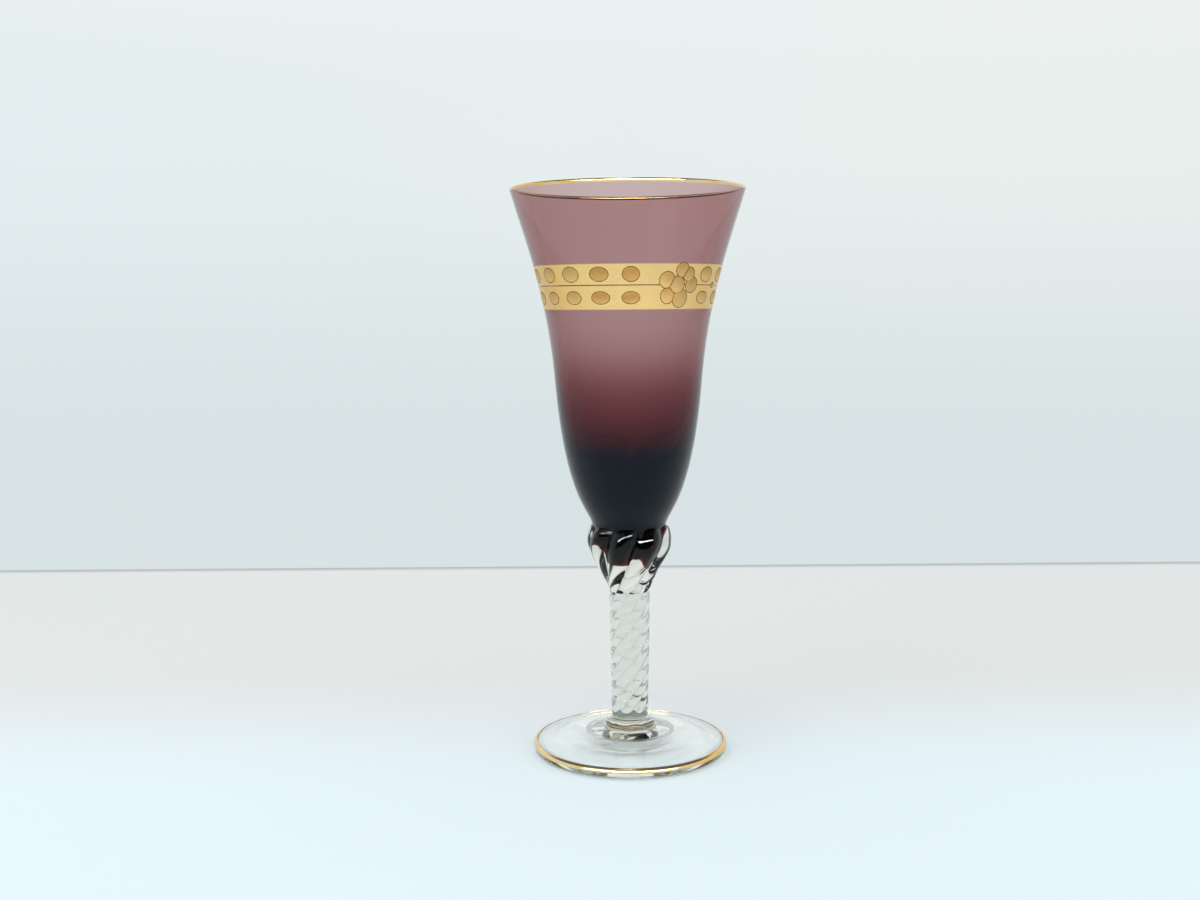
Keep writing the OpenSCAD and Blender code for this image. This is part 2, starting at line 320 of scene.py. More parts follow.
def foot_shoulder():
    """Outline of the foot's upper edge, from its widest part to its top."""
    s = sizes()
    inward = s.foot_edge * 0.42
    return curve(
        (s.foot_radius, s.foot_widest),
        (s.foot_radius, s.foot_widest + (s.foot_edge - s.foot_widest) * 0.7),
        (s.foot_radius - inward * 0.4, s.foot_edge),
        (s.foot_radius - inward, s.foot_edge),
        12,
    )


def foot_slope():
    """Outline of the foot's top, from its edge to the collar."""
    s = sizes()
    top = top_of("foot")
    return curve(
        foot_shoulder()[-1],
        (s.foot_radius * 0.75, s.foot_edge + (top - s.foot_edge) * 0.16),
        (s.collar_radius * 1.44, top),
        (s.collar_radius, top),
        36,
    )


# Making meshes

SPIN_STEPS = 144
RING_POINTS = 192
OVAL_POINTS = 64


def spin(bm, outline, closed=False):
    """Turns an outline round the upright axis and closes its poles."""
    verts = [bm.verts.new((p.x, 0, p.y)) for p in outline]
    pairs = list(zip(verts, verts[1:]))
    if closed:
        pairs.append((verts[-1], verts[0]))
    edges = [bm.edges.new(pair) for pair in pairs]
    bmesh.ops.spin(
        bm,
        geom=verts + edges,
        cent=(0, 0, 0),
        axis=(0, 0, 1),
        angle=math.tau,
        steps=SPIN_STEPS,
        use_merge=True,
    )
    bmesh.ops.remove_doubles(bm, verts=bm.verts, dist=1e-7)
    bmesh.ops.recalc_face_normals(bm, faces=bm.faces)


def mark_sharp(bm, degrees):
    """Smooth faces, with the edges sharp that turn by more than an angle."""
    limit = math.radians(degrees)
    for face in bm.faces:
        face.smooth = True
    for edge in bm.edges:
        edge.smooth = edge.calc_face_angle(0) < limit


def new_object(name, data):
    """An object in the scene."""
    made = bpy.data.objects.new(name, data)
    bpy.context.scene.collection.objects.link(made)
    return made


def mesh_object(name, bm, materials):
    """An object in the scene that shows a finished bmesh, with its materials."""
    mesh = bpy.data.meshes.new(name)
    bm.to_mesh(mesh)
    bm.free()
    for material in materials:
        mesh.materials.append(material)
    return new_object(name, mesh)


def place(bm, name, node, materials, second=None, sharp_degrees=50):
    """Makes the piece that stands for a CAD node, with its materials.

    second is a test of a face. A face that passes takes the second material, such as fused glass."""
    mark_sharp(bm, sharp_degrees)
    if second is not None:
        for face in bm.faces:
            face.material_index = 1 if second(face) else 0
    piece = mesh_object(name, bm, materials)
    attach(piece, "root")
    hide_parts(node)


def add_mesh(target, part):
    """Adds one bmesh to another."""
    mesh = bpy.data.meshes.new("part")
    part.to_mesh(mesh)
    part.free()
    target.from_mesh(mesh)
    bpy.data.meshes.remove(mesh)


def first_ring(bm, points):
    """A circle of points round the axis, of radius 1, and its edges."""
    ring = bmesh.ops.create_circle(bm, cap_ends=False, radius=1, segments=points)["verts"]
    return ring, list({e for v in ring for e in v.link_edges})


def next_ring(bm, edges):
    """The points and edges that grow from a ring's edges, joined to them by faces."""
    made = bmesh.ops.extrude_edge_only(bm, edges=edges)["geom"]
    ring = [g for g in made if isinstance(g, bmesh.types.BMVert)]
    return ring, [g for g in made if isinstance(g, bmesh.types.BMEdge)]


def from_axis(point):
    """A point's offset from the upright axis."""
    return Vector((point.x, point.y, 0))


def inside(solid, point):
    """Whether a point is inside a closed solid round the axis: a ray outwards from it meets the wall."""
    out = from_axis(point)
    return out.length < MM or solid.ray_cast(point, out.normalized())[0] is not None


# Twisted bodies

# Rounds the bottom of each crease between two ribs
CREASE_SOFTNESS = 0.002
# How much stronger or weaker the ribs of hand work get, and how often that changes round and along them
UNEVEN_SHARE = 0.4
UNEVEN_ROUND = 1.3
UNEVEN_ALONG = 90
# How much slower the twist is where the body is fat
TWIST_SLOWING = 2.2
# Height in which the stem's grooves run out into the collar
GROOVE_FADE = 6 * MM


def groove(angle):
    """How deep a groove is at an angle round a ribbed body, from 0 on a round rib to 1 in a narrow crease."""
    return 1 - math.sqrt(math.cos(sizes().rib_count * angle / 2) ** 2 + CREASE_SOFTNESS)


def rib_strength(angle, z):
    """How strongly the ribs show at a place: hand work is uneven."""
    where = Vector((math.cos(angle), math.sin(angle), z * UNEVEN_ALONG))
    return 1 + UNEVEN_SHARE * noise.noise(where * UNEVEN_ROUND)


def twist_rate(radius):
    """Turn of the ribs per metre of height, slower where the body is fat."""
    s = sizes()
    return math.tau / s.twist_pitch * (s.stem_top_radius / radius) ** TWIST_SLOWING


def twisted_body(bm, outline, depth_at, start_angle):
    """Draws a ribbed body up an outline, each ring turned a little further with its ribs.

    depth_at gives the grooves' depth at a height, as a share of the radius. Each point stores its groove."""
    crease = bm.verts.layers.float.new("groove")
    ring, edges = first_ring(bm, RING_POINTS)
    first = outline[0]
    bmesh.ops.transform(
        bm, matrix=Matrix.Translation((0, 0, first.y)) @ Matrix.Scale(first.x, 4), verts=ring
    )
    rings = [ring]
    ends = [edges]
    for low, high in zip(outline, outline[1:]):
        ring, edges = next_ring(bm, edges)
        grow = high.x / low.x
        bmesh.ops.transform(
            bm,
            matrix=Matrix.Translation((0, 0, high.y - low.y)) @ Matrix.Diagonal((grow, grow, 1, 1)),
            verts=ring,
        )
        rings.append(ring)
    ends.append(edges)
    turn = start_angle
    for index, ring in enumerate(rings):
        z = outline[index].y
        if index:
            turn += twist_rate(outline[index - 1].x) * (z - outline[index - 1].y)
        depth = depth_at(z)
        for vert in ring:
            angle = math.atan2(vert.co.y, vert.co.x)
            vert[crease] = groove(angle)
            radius = from_axis(vert.co).length * (1 - depth * groove(angle) * rib_strength(angle, z))
            vert.co.x = radius * math.cos(angle + turn)
            vert.co.y = radius * math.sin(angle + turn)
    for edges in ends:
        bmesh.ops.contextual_create(bm, geom=edges)
    bmesh.ops.recalc_face_normals(bm, faces=bm.faces)


def stem_depth(z):
    """Depth of the grooves on the stem, as a share of its radius: they run out into the collar."""
    share = min(max((z - bottom_of("stem")) / GROOVE_FADE, 0), 1)
    return sizes().stem_groove * share


def knop_depth(z):
    """Depth of the grooves on the knop: the stem's at its foot, deep from half way up its swelling."""
    s = sizes()
    share = min(max((z - bottom_of("knop")) / (s.knop_widest / 2), 0), 1)
    return s.stem_groove + (s.knop_groove - s.stem_groove) * share


def stem_outline():
    """Outline over the stem's ribs."""
    s = sizes()
    low = bottom_of("stem")
    length = top_of("stem") - low
    steps = 80
    line = []
    for i in range(steps + 1):
        share = i / steps
        swell = (s.stem_top_radius - s.stem_low_radius) * math.sin(math.pi / 2 * share)
        line.append(Vector((s.stem_low_radius + swell, low + length * share)))
    return line


def knop_outline():
    """Outline over the knop's ribs: the swelling and the crown that rolls in."""
    s = sizes()
    low = bottom_of("knop")
    crown = seat_height() - s.seat_rise
    widest = Vector((s.knop_radius, low + s.knop_widest))
    crown_rise = crown - widest.y
    return join(
        curve(
            (s.stem_top_radius, low),
            (s.stem_top_radius * 1.12, low + s.knop_widest * 0.32),
            widest - Vector((0, s.knop_widest * 0.25)),
            widest,
            60,
        ),
        curve(
            widest,
            widest + Vector((0, crown_rise * 0.62)),
            (s.seat_radius * 1.06, crown),
            (s.seat_radius * 0.93, crown),
            28,
        ),
    )


def stem_turn():
    """The angle of the ribs at the stem's top."""
    line = stem_outline()
    return sizes().twist_start + sum(twist_rate(a.x) * (b.y - a.y) for a, b in zip(line, line[1:]))


# Air bubbles in the knop, in millimetres: across, back, above the stem, and radius
BUBBLES_MM = ((6.0, -3.4, 3.2, 0.9), (4.4, -4.6, 4.4, 0.28), (4.0, -4.9, 2.0, 0.24), (3.4, -5.0, 1.0, 0.2))


def leave_bubbles(bm, low):
    """Leaves air bubbles in a piece of glass: small spheres whose faces look inwards."""
    for across, back, above, radius in BUBBLES_MM:
        where = Matrix.Translation((across * MM, back * MM, low + above * MM))
        made = bmesh.ops.create_uvsphere(
            bm, u_segments=24, v_segments=12, radius=radius * MM, matrix=where
        )["verts"]
        bmesh.ops.reverse_faces(bm, faces=list({f for v in made for f in v.link_faces}))


# Shader maths


class Value:
    """A number that varies over a surface: an output socket with Python's operators."""

    def __init__(self, tree, socket):
        self.tree = tree
        self.socket = socket

    def math(self, operation, *terms, clamp=False):
        node = add_node(
            self.tree,
            "ShaderNodeMath",
            {"operation": operation, "use_clamp": clamp},
            dict(enumerate(terms)),
        )
        return Value(self.tree, node.outputs[0])

    def __add__(self, other):
        return self.math("ADD", self, other)

    def __radd__(self, other):
        return self.math("ADD", other, self)

    def __sub__(self, other):
        return self.math("SUBTRACT", self, other)

    def __rsub__(self, other):
        return self.math("SUBTRACT", other, self)

    def __mul__(self, other):
        return self.math("MULTIPLY", self, other)

    def __rmul__(self, other):
        return self.math("MULTIPLY", other, self)

    def __pow__(self, other):
        return self.math("POWER", self, other)

    def __rpow__(self, other):
        return self.math("POWER", other, self)

    def clamped(self):
        return self.math("MULTIPLY", self, 1, clamp=True)


def add_node(tree, kind, settings=None, sockets=None):
    """Adds a node: its settings first, then the values or links of its sockets."""
    node = tree.nodes.new(kind)
    for name, value in (settings or {}).items():
        setattr(node, name, value)
    for name, value in (sockets or {}).items():
        if isinstance(value, Value):
            tree.links.new(value.socket, node.inputs[name])
        elif isinstance(value, bpy.types.NodeSocket):
            tree.links.new(value, node.inputs[name])
        else:
            node.inputs[name].default_value = value
    return node


def opaque(colour):
    """A colour with full alpha."""
    return (*colour, 1)


def object_place(tree):
    """The Object coordinates of the surface."""
    return add_node(tree, "ShaderNodeTexCoord").outputs["Object"]


def parts_of(tree, vector):
    """The three parts of a vector, as Values."""
    node = add_node(tree, "ShaderNodeSeparateXYZ", {}, {0: vector})
    return [Value(tree, node.outputs[i]) for i in range(3)]


def stored(tree, name):
    """A number that the piece's points store, as a Value: 0 on a piece that stores none."""
    node = add_node(tree, "ShaderNodeAttribute", {"attribute_name": name})
    return Value(tree, node.outputs["Fac"])


def grain(tree, scale, detail=3.0, stretch_by=(1, 1, 1), roughness=0.5):
    """Noise on Object coordinates, as a Value from 0 to 1."""
    mapping = add_node(tree, "ShaderNodeMapping", {}, {"Vector": object_place(tree), "Scale": stretch_by})
    node = add_node(
        tree,
        "ShaderNodeTexNoise",
        {},
        {"Vector": mapping.outputs[0], "Scale": scale, "Detail": detail, "Roughness": roughness},
    )
    return Value(tree, node.outputs["Fac"])


def ranged(tree, value, low, high, to_low=0.0, to_high=1.0):
    """A value carried smoothly from one range to another."""
    node = add_node(
        tree,
        "ShaderNodeMapRange",
        {"interpolation_type": "SMOOTHSTEP"},
        {"Value": value, "From Min": low, "From Max": high, "To Min": to_low, "To Max": to_high},
    )
    return Value(tree, node.outputs[0])


def mixed(tree, share, a, b):
    """Two colours mixed by a share."""
    node = add_node(tree, "ShaderNodeMix", {"data_type": "RGBA"}, {0: share, 6: a, 7: b})
    return node.outputs[2]


def bump(tree, height, distance):
    """A normal bent by a height from 0 to 1, over a distance."""
    return add_node(tree, "ShaderNodeBump", {}, {"Height": height, "Distance": distance}).outputs[0]


# Glass and gold


def made_once(make):
    """Makes a material the first time, and afterwards finds the one of its name."""

    @functools.wraps(make)
    def made(name, *looks):
        return bpy.data.materials.get(name) or make(name, *looks)

    return made


def new_material(name):
    """An empty material and its node tree."""
    material = bpy.data.materials.new(name)
    material.use_nodes = True
    material.node_tree.nodes.clear()
    return material, material.node_tree


def principled(tree, sockets):
    """The shader of most surfaces, with the values or links of its sockets."""
    return add_node(tree, "ShaderNodeBsdfPrincipled", {}, sockets)


def finish(tree, surface, depth=None):
    """Joins a surface, and the depth of glass under it, to the material's output."""
    sockets = {"Surface": surface.outputs[0]}
    if depth:
        sockets["Volume"] = depth.outputs[0]
    add_node(tree, "ShaderNodeOutputMaterial", {}, sockets)


def glass_depth(tree, absorbs, density):
    """The colour of glass, which deepens with the way that light goes in it."""
    return add_node(
        tree, "ShaderNodeVolumeAbsorption", {}, {"Color": opaque(absorbs), "Density": density}
    )


@made_once
def glass_material(name, tint, shine, ripple, ior, absorbs, density):
    """Fire-polished glass: smooth, faintly rippled and smeared, with its colour in its depth.

    tint(tree) gives its surface's colour."""
    material, tree = new_material(name)
    looks = {
        "Base Color": tint(tree),
        "Roughness": ranged(tree, grain(tree, 90, 4), 0.5, 0.8, 0.0, 0.012),
        "IOR": ior,
        "Specular Tint": opaque(shine),
        "Transmission Weight": 1.0,
        "Normal": bump(tree, grain(tree, 55, 2, (1, 1, 0.45)), ripple),
    }
    finish(tree, principled(tree, looks), glass_depth(tree, absorbs, density))
    return material


@made_once
def fused_material(name, absorbs, density):
    """The inside of glass where two pieces are melted into one: no surface, the same colour in depth."""
    material, tree = new_material(name)
    finish(tree, add_node(tree, "ShaderNodeBsdfTransparent"), glass_depth(tree, absorbs, density))
    return material


WHITE = (1, 1, 1, 1)
# Tints of the surface: smoke near the lip, cords in clear glass, and painted shade in the creases between
# ribs
SMOKE = (0.985, 0.97, 0.96, 1)
CORD = (0.985, 0.985, 0.97, 1)
PAINTED_CREASE_SHADE = (0.10, 0.10, 0.08, 1)
# Heights between which the smoke comes up, and how unevenly
SMOKE_LOW = 165 * MM
SMOKE_HIGH = 190 * MM
SMOKE_DRIFT = 20 * MM
# The amethyst is denser where the knop holds it, and pressed glass is paler than drawn
FUSED_DENSITY_SHARE = 1.4
PRESSED_DENSITY_SHARE = 0.25


def amethyst():
    """Amethyst glass, a little smoky towards the lip, and its fused inside."""
    c = colours()

    def smoke(tree):
        z = parts_of(tree, object_place(tree))[2]
        height = z + (grain(tree, 30, 2) - 0.5) * SMOKE_DRIFT
        return mixed(tree, ranged(tree, height, SMOKE_LOW, SMOKE_HIGH), WHITE, SMOKE)

    density = c.amethyst_density
    return [
        glass_material(
            "blown_amethyst", smoke, (0.5, 0.6, 0.75), 0.02 * MM, 1.42, c.amethyst_absorbs, density
        ),
        fused_material("fused_amethyst", c.amethyst_absorbs, density * FUSED_DENSITY_SHARE),
    ]


def clear(name="drawn_clear", density_share=1.0):
    """Clear glass with faint cords in it, painted shade in the creases between its ribs that is strongest
    where they turn edge-on, and its fused inside.
    """
    c = colours()
    colour = (c.clear_absorbs, c.clear_density * density_share)

    def cords_and_crease_shade(tree):
        pale = mixed(tree, grain(tree, 120, 3, (1, 1, 0.3)), CORD, WHITE)
        uneven = ranged(tree, grain(tree, 230, 2), 0.4, 0.62, 0.1, 1)
        facing = Value(tree, add_node(tree, "ShaderNodeLayerWeight", {}, {"Blend": 0.5}).outputs["Facing"])
        edge_on = ranged(tree, facing, 0.25, 0.65, 0.3, 1)
        # Painted shade: the creases between ribs darken, most where the surface turns edge-on
        shade = ranged(tree, stored(tree, "groove"), 0.6, 0.92) * uneven * edge_on
        return mixed(tree, shade, pale, PAINTED_CREASE_SHADE)

    return [
        glass_material(name, cords_and_crease_shade, (0.5, 0.5, 0.5), 0.03 * MM, 1.5, *colour),
        fused_material(name + "_inside", *colour),
    ]


def pressed():
    """The paler clear glass of the collar and the foot."""
    return clear("pressed_clear", PRESSED_DENSITY_SHARE)


@made_once
def gold_material(name, tone, rough, strokes, stroke_depth, stretch_by, metal=1.0):
    """Gilding. tone(tree) gives its colour; fine strokes and an uneven polish lie over it."""
    material, tree = new_material(name)
    cloud = grain(tree, 70, 4)
    lines = grain(tree, strokes, 5, stretch_by, 0.6)
    worn = ranged(tree, lines * 0.6 + cloud * 0.4, 0.48, 0.72, 0, 0.5)
    base = tone(tree)
    darker = add_node(
        tree, "ShaderNodeVectorMath", {"operation": "SCALE"}, {0: base, "Scale": 0.72}
    ).outputs[0]
    looks = {
        "Base Color": mixed(tree, worn, base, darker),
        "Metallic": metal,
        "Roughness": ranged(tree, cloud * 0.5 + lines * 0.5, 0.3, 0.7, rough, rough * 1.8),
        "Normal": bump(tree, lines, stroke_depth),
    }
    finish(tree, principled(tree, looks))
    return material


def clouded(plain, patches, scale, detail, low, high):
    """The tone of gilding that has patches of another colour."""

    def tone(tree):
        share = ranged(tree, grain(tree, scale, detail), low, high)
        return mixed(tree, share, opaque(plain), opaque(patches))

    return tone


def edge_gold():
    """Burnished gilding on the lip and the foot."""
    tone = clouded(colours().bright_gold, colours().warm_gold, 45, 3, 0.4, 0.65)
    return gold_material("burnished_edge", tone, 0.13, 500, 0.002 * MM, (1, 1, 6))


def band_gold():
    """Burnished gilding of the band: a painted reflection makes it deeper and warmer on its left side past a
    ragged slant line, and it is dark along its edges.
    """
    base = opaque(colours().band_gold)
    warm = opaque(colours().warm_gold)
    low = bottom_of("band_gilding")
    high = top_of("band_gilding")
    line = 0.35 * MM
    ragged = 12 * MM

    def tone(tree):
        x, _, z = parts_of(tree, object_place(tree))
        # Painted reflection: deeper and warmer on the band's left side, past a ragged slant line
        slant = x * 1.6 + (z - low) + (grain(tree, 160, 3) - 0.5) * ragged
        reflected_warm_side = ranged(tree, slant, -27 * MM, -19 * MM, 0.85, 0)
        cloud = ranged(tree, grain(tree, 60, 3), 0.5, 0.72, 0, 0.5)
        gold = mixed(tree, (reflected_warm_side + cloud).clamped(), base, warm)
        edge = ranged(tree, z, high - line, high, 0, 0.55) + ranged(tree, z, low + line, low, 0, 0.55)
        return mixed(tree, edge, gold, opaque(colours().outline))

    return gold_material("burnished_band", tone, 0.2, 420, 0.003 * MM, (1, 1, 6))


def gold_reverse():
    """The dull reverse of the gilding, seen through the glass."""
    tone = clouded(colours().reverse, colours().dark_gold, 90, 4, 0.4, 0.7)
    return gold_material("gilding_reverse", tone, 0.45, 400, 0.005 * MM, (1, 1, 6), 0.0)


def faces_glass(face):
    """Whether a face of the gilding looks at the axis, and so at the glass that carries it."""
    middle = face.calc_center_median()
    return face.normal.x * middle.x + face.normal.y * middle.y < 0


def pad_gold():
    """Matte gilding with its fine cross strokes; each pad has its own tone, with painted shade towards its
    top.
    """
    light = opaque(colours().matte_gold)
    dark = opaque(colours().dark_gold)

    def tone(tree):
        own = stored(tree, "tone") * 0.82 + 0.2
        return mixed(tree, (own + (grain(tree, 220, 3) - 0.5) * 0.6).clamped(), light, dark)

    return gold_material("unburnished_pad", tone, 0.34, 700, 0.02 * MM, (0.4, 0.4, 7))


def outline_gold():
    """The dark drawn line round each pad."""
    tone = clouded(colours().outline, colours().dark_gold, 600, 3, 0.5, 0.8)
    return gold_material("drawn_outline", tone, 0.5, 600, 0.01 * MM, (1, 1, 3))


# The bowl's gilt ornament: pads drawn flat, as (round the bowl, up, out), then laid on its wall

OVAL_WIDTH_SHARES = (1.06, 1.05, 0.92, 0.98, 1.02, 0.95, 1.04)
OVAL_HEIGHT_SHARES = (1, 0.96, 0.93, 1.04, 0.9, 0.98, 1.02, 0.95)
# How dark each oval is, round the bowl from the flower
OVAL_TONE_SHARES = (0.1, 0.15, 0.4, 0.5, 0.3, 0.6, 0.45, 0.25, 0.5, 0.35, 0.6, 0.3, 0.1, 0.1, 0.35, 0.85, 1)
# The flower's discs in shares of a disc: round the bowl, up, and size
FLOWER_SHARES = (
    (0.00, 0.00, 1.00),
    (0.32, -0.78, 1.06),
    (-0.68, 0.28, 0.95),
    (0.77, 0.62, 0.80),
    (1.09, 0.01, 0.90),
    (-0.56, -0.63, 0.92),
    (0.28, 0.87, 0.83),
)
FLOWER_ANGLE = math.radians(-60)
GAP_AFTER_FLOWER = math.radians(24)
GAP_BEFORE_FLOWER = math.radians(29.4)
BUD_ANGLE = math.radians(35)
BUD_HEIGHT_SHARE = 0.7
# How dark the flower and the bud are
FLOWER_TONE_SHARE = 0.45
BUD_TONE_SHARE = 0.3
# Painted shade: how much darker a pad is at its top than at its foot
PAD_PAINTED_SHADE_SHARE = 0.7
# Places of the two rows, in shares of the half band
UPPER_ROW_SHARE = 0.5
LOWER_ROW_SHARE = 0.51
# Width of the line drawn round a pad, and how near two discs lie when they trim each other
DRAWN_LINE = 0.24 * MM
DISC_REACH = 0.4 * MM


def band_middle():
    """Height of the line between the two strips."""
    low = bottom_of("band_gilding")
    return low + (top_of("band_gilding") - low) * gilding().line_share


def band_strips():
    """The lowest and highest heights of the two strips of the band."""
    half_line = gilding().line_width / 2
    return (
        (bottom_of("band_gilding"), band_middle() - half_line),
        (band_middle() + half_line, top_of("band_gilding")),
    )


def oval_solid(flat, width, height, low, profile, material, tone, cuts=()):
    """Adds an oval solid to a flat pad. Its points store its tone, with painted shade that darkens it towards
    its top.

    profile lists (inset, height) from its foot up. cuts are (point, normal) of planes that trim it."""
    part = bmesh.new()
    ring, edges = first_ring(part, OVAL_POINTS)
    half = (1.0, 1.0)
    for index, (inset, rise) in enumerate(profile):
        if index:
            ring, edges = next_ring(part, edges)
        target = (width / 2 - inset, height / 2 - inset)
        bmesh.ops.scale(part, vec=(target[0] / half[0], target[1] / half[1], 1), verts=ring)
        for vert in ring:
            vert.co.z = low + rise
        half = target
        if index in (0, len(profile) - 1):
            bmesh.ops.contextual_create(part, geom=edges)
    bmesh.ops.recalc_face_normals(part, faces=part.faces)
    for point, normal in cuts:
        sides = bmesh.ops.bisect_plane(
            part,
            geom=part.verts[:] + part.edges[:] + part.faces[:],
            plane_co=point,
            plane_no=normal,
            clear_outer=True,
        )["geom_cut"]
        rim = [e for e in sides if isinstance(e, bmesh.types.BMEdge)]
        if rim:
            bmesh.ops.holes_fill(part, edges=rim, sides=0)
    layer = part.verts.layers.float.new("tone")
    # Painted shade: the tone darkens towards the pad's top
    for vert in part.verts:
        vert[layer] = tone + PAD_PAINTED_SHADE_SHARE * vert.co.y / height
    for face in part.faces:
        face.material_index = material
    add_mesh(flat, part)


def pad(width, height, tone, neighbours=()):
    """An oval pad, drawn flat: a dark base, and on it a smaller matte cushion of one tone.

    neighbours are (point, normal) of the lines where other pads meet this one."""
    flat = bmesh.new()
    g = gilding()
    low = g.seat_gap * 2 + g.leaf
    rise = g.pad_rise
    base_rise = rise * 0.4

    def trims(back):
        return [(point - normal * back, normal) for point, normal in neighbours]

    oval_solid(
        flat,
        width + DRAWN_LINE * 2,
        height + DRAWN_LINE * 2,
        low,
        ((0, 0), (0, base_rise)),
        0,
        tone,
        trims(g.seat_gap * 0.5),
    )
    soft = min(width, height)
    crown = (
        (0, 0),
        (0, rise * 0.2),
        (soft * 0.03, rise * 0.5),
        (soft * 0.12, rise * 0.75),
        (soft * 0.3, rise * 0.85),
    )
    cushion_low = low + base_rise + g.seat_gap * 0.5
    oval_solid(flat, width, height, cushion_low, crown, 1, tone, trims(DRAWN_LINE * 0.6))
    return flat


def lay_on_bowl(bm, part, outside, angle, z):
    """Lays a flat pad on the bowl's wall, centred on an angle and a height, among the other pads."""
    radius = radius_at(outside, z)
    for vert in part.verts:
        height = z + vert.co.y
        turn = angle + vert.co.x / radius
        out = radius_at(outside, height) + vert.co.z
        vert.co = Vector((out * math.cos(turn), out * math.sin(turn), height))
    add_mesh(bm, part)


def place_pads(bm, name, node):
    """Makes the piece of all the pads laid on the bowl that stand for a node."""
    bmesh.ops.recalc_face_normals(bm, faces=bm.faces)
    place(bm, name, node, [outline_gold(), pad_gold()], sharp_degrees=60)


# The stage: sizes and places in metres, and colours

TABLE_NEAR = -1.4
TABLE_FAR = 0.3405
TABLE_SIDE = 1.6
# The table lies this far under the foot
TABLE_DROP = 0.05 * MM
TABLE_BACK = (0.76, 0.79, 0.78, 1)
TABLE_FRONT = (0.79, 0.905, 0.95, 1)
# Painted shadow: a dark line along the table's far edge, where it meets the wall
TABLE_SEAM_SHADOW = (0.3, 0.33, 0.33, 1)
# Painted light: the table paler under the clear foot, standing in for the light that the foot lets through
TABLE_PAINTED_LIGHT_UNDER_FOOT = (0.86, 0.97, 1, 1)
# Where the table's tone turns from the back's to the front's
TABLE_TURN_BACK = 0.1
TABLE_TURN_FRONT = -0.05

WALL_LEFT = (0.78, 0.85, 0.865, 1)
WALL_RIGHT = (0.82, 0.865, 0.85, 1)
WALL_LOW = (0.69, 0.765, 0.78, 1)
WALL_HIGH = (0.95, 0.97, 0.97, 1)
BEHIND_IN_GLASS = (0.13, 0.135, 0.12, 1)
BEHIND_MIRRORED = (0.04, 0.05, 0.065, 1)
BESIDE_IN_GLASS = (0.3, 0.31, 0.285, 1)
ABOVE_IN_GLASS = (0.9, 0.92, 0.88, 1)
ABOVE_MIRRORED = (0.12, 0.14, 0.17, 1)
EVEN_LIGHT = (0.95, 0.96, 0.97, 1)

# Lamps: name, width and height, watts, place, and whether only reflections show it
LAMPS = (
    ("side_window", (0.5, 0.5), 0.7, (-0.6, -0.55, 0.8)),
    ("ceiling_lamp", (0.15, 0.15), 0.5, (-0.05, -0.12, 1.0)),
    ("far_window", (3.6, 0.16), 96, (0.0, -1.35, 0.6), True),
)
LAMPS_LOOK_AT = (0, 0, 0.08)
# Light goes through many walls of glass before it comes out
LIGHT_BOUNCES = {
    "max_bounces": 40,
    "transmission_bounces": 40,
    "glossy_bounces": 16,
    "transparent_max_bounces": 64,
}

# The camera that the photograph's perspective gives
CAMERA_PLACE = (-0.010178, -0.479671, 0.161053)
PITCH_DOWN = math.radians(6.25)
ROLL = math.radians(-0.42)
LENS_MM = 40.87
SENSOR_WIDTH_MM = 36


def table():
    """The pale table, whose far edge is the line behind the glass, with a painted shadow along that edge and
    painted light under the foot.
    """
    material, tree = new_material("table")
    x, y, _ = parts_of(tree, object_place(tree))
    tone = mixed(tree, ranged(tree, y, TABLE_TURN_BACK, TABLE_TURN_FRONT), TABLE_BACK, TABLE_FRONT)
    edge = sizes().foot_radius
    from_middle = (x * x + y * y) ** 0.5
    # Painted light: a paler disc of table under the foot
    light_under_foot = ranged(tree, from_middle, edge + 1.25 * MM, edge - 3.75 * MM)
    tone = mixed(tree, light_under_foot, tone, TABLE_PAINTED_LIGHT_UNDER_FOOT)
    # Painted shadow along the table's far edge
    seam_shadow = ranged(tree, y, TABLE_FAR - 12 * MM, TABLE_FAR - 2 * MM, 0, 0.6)
    looks = {"Base Color": mixed(tree, seam_shadow, tone, TABLE_SEAM_SHADOW), "Roughness": 0.7, "Specular IOR Level": 0.0}
    finish(tree, principled(tree, looks))
    bm = bmesh.new()
    bmesh.ops.create_grid(bm, x_segments=1, y_segments=1, size=1)
    bmesh.ops.scale(bm, vec=(TABLE_SIDE, (TABLE_FAR - TABLE_NEAR) / 2, 1), verts=bm.verts)
    bmesh.ops.translate(bm, vec=(0, (TABLE_FAR + TABLE_NEAR) / 2, -TABLE_DROP), verts=bm.verts)
    top = mesh_object("table", bm, [material])


